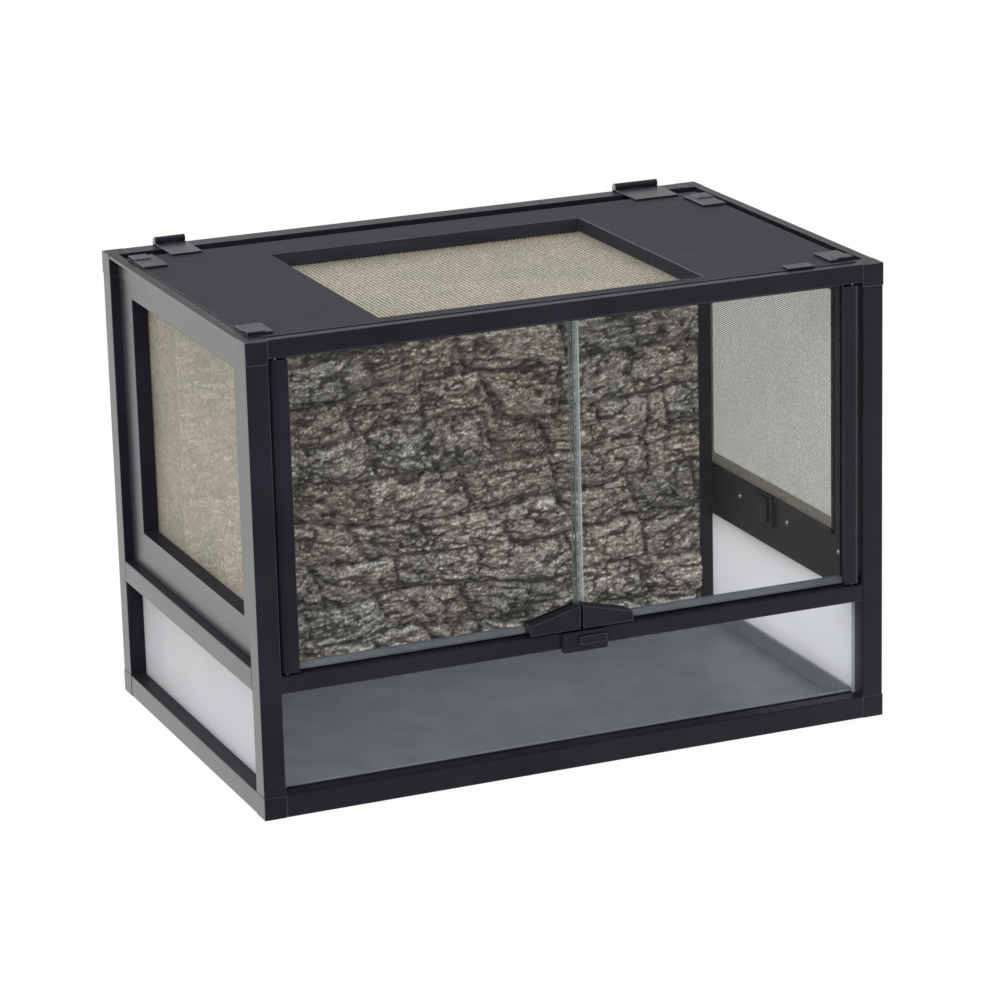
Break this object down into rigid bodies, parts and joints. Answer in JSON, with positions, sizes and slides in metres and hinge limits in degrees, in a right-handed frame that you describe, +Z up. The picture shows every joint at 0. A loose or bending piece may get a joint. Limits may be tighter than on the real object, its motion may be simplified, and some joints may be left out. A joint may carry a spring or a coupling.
{
  "type": "terrarium cabinet",
  "caption": "Front-opening terrarium: black profile frame, glass doors above a fixed window, meshed sides and a hinged lid with a mesh window",
  "frame": {"origin": "middle of the underside of everything, on the floor", "axes": "+X to the right seen from the front, +Y to the rear, +Z up"},
  "size_m": [0.7, 0.4608, 0.5038],
  "materials": {
    "frame_black": "satin powder coat",
    "black_plastic": "satin",
    "lid_grey": "satin",
    "steel": "plain",
    "wire_mesh": "fine woven wire",
    "clear_glass": "clear",
    "frosted_pane": "translucent",
    "clear_plastic": "clear",
    "rock_foam": "rough rock texture",
    "tray_plastic": "satin"
  },
  "bodies": {
    "frame": {"front_left_post": "frame_black", "front_right_post": "frame_black", "rear_left_post": "frame_black", "rear_right_post": "frame_black", "bottom_front_rail": "frame_black", "bottom_rear_rail": "frame_black", "bottom_left_rail": "frame_black", "bottom_right_rail": "frame_black", "mid_front_rail": "frame_black", "mid_left_rail": "frame_black", "mid_right_rail": "frame_black", "top_front_rail": "frame_black", "top_rear_rail": "frame_black", "top_left_rail": "frame_black", "top_right_rail": "frame_black", "left_panel_frame": "frame_black", "right_panel_frame": "frame_black", "left_background_channel": "frame_black", "right_background_channel": "frame_black", "bottom_front_left_connector": "black_plastic", "bottom_front_right_connector": "black_plastic", "bottom_rear_left_connector": "black_plastic", "bottom_rear_right_connector": "black_plastic", "top_front_left_connector": "black_plastic", "top_front_right_connector": "black_plastic", "top_rear_left_connector": "black_plastic", "top_rear_right_connector": "black_plastic", "latch_base": "black_plastic", "left_hinge_fixed_leaf": "black_plastic", "right_hinge_fixed_leaf": "black_plastic", "back_panel": "black_plastic", "left_hinge_pin": "steel", "right_hinge_pin": "steel", "left_side_mesh": "wire_mesh", "right_side_mesh": "wire_mesh", "lower_front_window": "clear_glass", "lower_left_window": "frosted_pane", "lower_right_window": "frosted_pane", "rock_background": "rock_foam", "base_tray": "tray_plastic", "base_tray_rim": "tray_plastic"},
    "left_door": {"left_door_stile": "frame_black", "left_door_glass": "clear_glass", "left_door_handle": "black_plastic", "left_door_pivot_rod": "steel"},
    "right_door": {"right_door_stile": "frame_black", "right_door_glass": "clear_glass", "right_door_handle": "black_plastic", "right_door_pivot_rod": "steel", "meeting_seal": "clear_plastic"},
    "lid": {"lid_panel": "lid_grey", "lid_mesh": "wire_mesh", "lid_lift_tab": "black_plastic", "left_hinge_moving_leaf": "black_plastic", "right_hinge_moving_leaf": "black_plastic", "front_left_lid_cap": "black_plastic", "front_right_lid_cap": "black_plastic", "rear_left_lid_cap": "black_plastic", "rear_right_lid_cap": "black_plastic"},
    "latch_button": {"latch_button": "black_plastic"}
  },
  "joints": [
    {"name": "left_door_hinge", "type": "hinge", "parent": "frame", "child": "left_door", "pos_m": [-0.3172, -0.21375, 0.1515], "axis": [0, 0, -1], "range_deg": [0, 100]},
    {"name": "right_door_hinge", "type": "hinge", "parent": "frame", "child": "right_door", "pos_m": [0.3172, -0.21375, 0.1515], "axis": [0, 0, 1], "range_deg": [0, 100]},
    {"name": "lid_hinge", "type": "hinge", "parent": "frame", "child": "lid", "pos_m": [0, 0.22495, 0.4998], "axis": [-1, 0, 0], "range_deg": [0, 105]},
    {"name": "latch_turn", "type": "hinge", "parent": "frame", "child": "latch_button", "pos_m": [0, -0.22655, 0.14], "axis": [0, -1, 0], "range_deg": [0, 90]}
  ]
}
